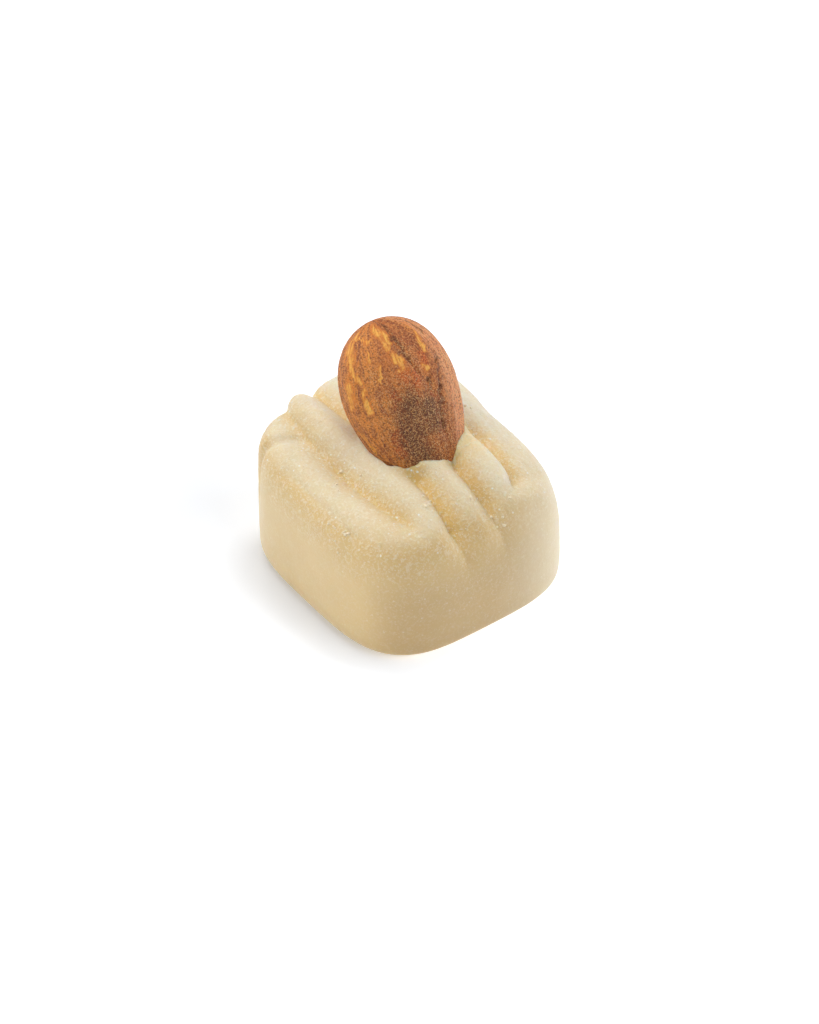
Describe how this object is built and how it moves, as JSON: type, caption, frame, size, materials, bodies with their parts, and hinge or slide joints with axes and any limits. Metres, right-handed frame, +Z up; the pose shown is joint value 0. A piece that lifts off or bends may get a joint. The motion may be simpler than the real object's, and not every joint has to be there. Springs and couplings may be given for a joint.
{
  "type": "marzipan sweet",
  "caption": "Marzipan sweet: a rounded block with parallel ridges along its top and a whole skin-on almond pressed into the middle ridge, leaning back.",
  "frame": {"origin": "centre of the block's flat base, on the surface it rests on", "axes": "+Z up out of the base; the ridges run along Y and the grooves between them fade out on the front wall, which faces -Y; the almond leans back towards +Y; +X is to the right seen from the front"},
  "size_m": [0.0279, 0.0298, 0.029],
  "materials": {
    "marzipan": null,
    "almond_skin": null
  },
  "bodies": {
    "root": {"marzipan": "marzipan", "almond": "almond_skin"}
  },
  "joints": []
}
